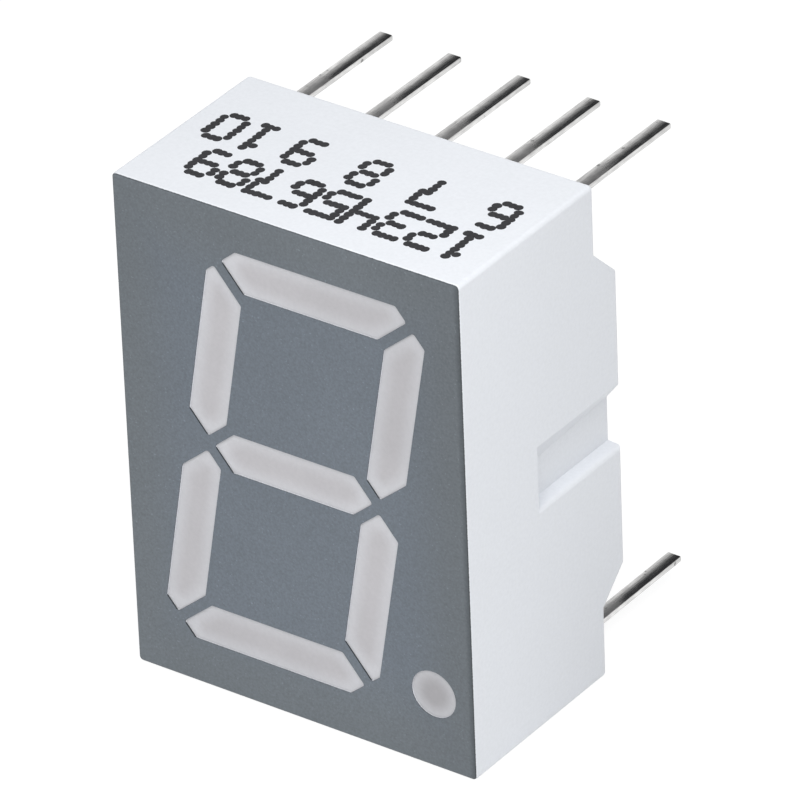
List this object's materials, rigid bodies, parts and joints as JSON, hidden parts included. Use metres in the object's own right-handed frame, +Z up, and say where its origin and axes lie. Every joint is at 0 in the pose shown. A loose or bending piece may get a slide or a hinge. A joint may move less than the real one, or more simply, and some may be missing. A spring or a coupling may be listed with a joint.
{
  "type": "seven segment display",
  "caption": "Single digit seven segment numeric display with decimal point, grey face, white housing and two rows of through-hole leads.",
  "frame": {"origin": "centre of the lead pattern, on the plane of the rear feet, where the board's face lies", "axes": "+Y backwards along the leads, +Z up the digit, +X to the right of someone who reads the digit"},
  "size_m": [0.0126, 0.0123, 0.0172],
  "materials": {
    "white_housing": "satin moulded white polycarbonate",
    "grey_face_ink": "matte printed grey ink, faintly speckled",
    "milky_epoxy": "diffused light grey cast epoxy, semi-matte",
    "tinned_lead": "matte tin plate over a stamped copper alloy strip",
    "led_die": "sawn and polished semiconductor chip",
    "gold_wire": "bright drawn gold wire",
    "print_ink": "black ink-jet dots"
  },
  "bodies": {
    "root": {"housing": "white_housing", "grey_face_coat": "grey_face_ink", "epoxy_fill": "milky_epoxy", "common_cathode_frame": "tinned_lead", "segment_a_lead": "tinned_lead", "segment_a_die": "led_die", "segment_a_bond_wire": "gold_wire", "segment_b_lead": "tinned_lead", "segment_b_die": "led_die", "segment_b_bond_wire": "gold_wire", "segment_c_lead": "tinned_lead", "segment_c_die": "led_die", "segment_c_bond_wire": "gold_wire", "segment_d_lead": "tinned_lead", "segment_d_die": "led_die", "segment_d_bond_wire": "gold_wire", "segment_e_lead": "tinned_lead", "segment_e_die": "led_die", "segment_e_bond_wire": "gold_wire", "segment_f_lead": "tinned_lead", "segment_f_die": "led_die", "segment_f_bond_wire": "gold_wire", "segment_g_lead": "tinned_lead", "segment_g_die": "led_die", "segment_g_bond_wire": "gold_wire", "decimal_point_lead": "tinned_lead", "decimal_point_die": "led_die", "decimal_point_bond_wire": "gold_wire"}
  },
  "joints": []
}
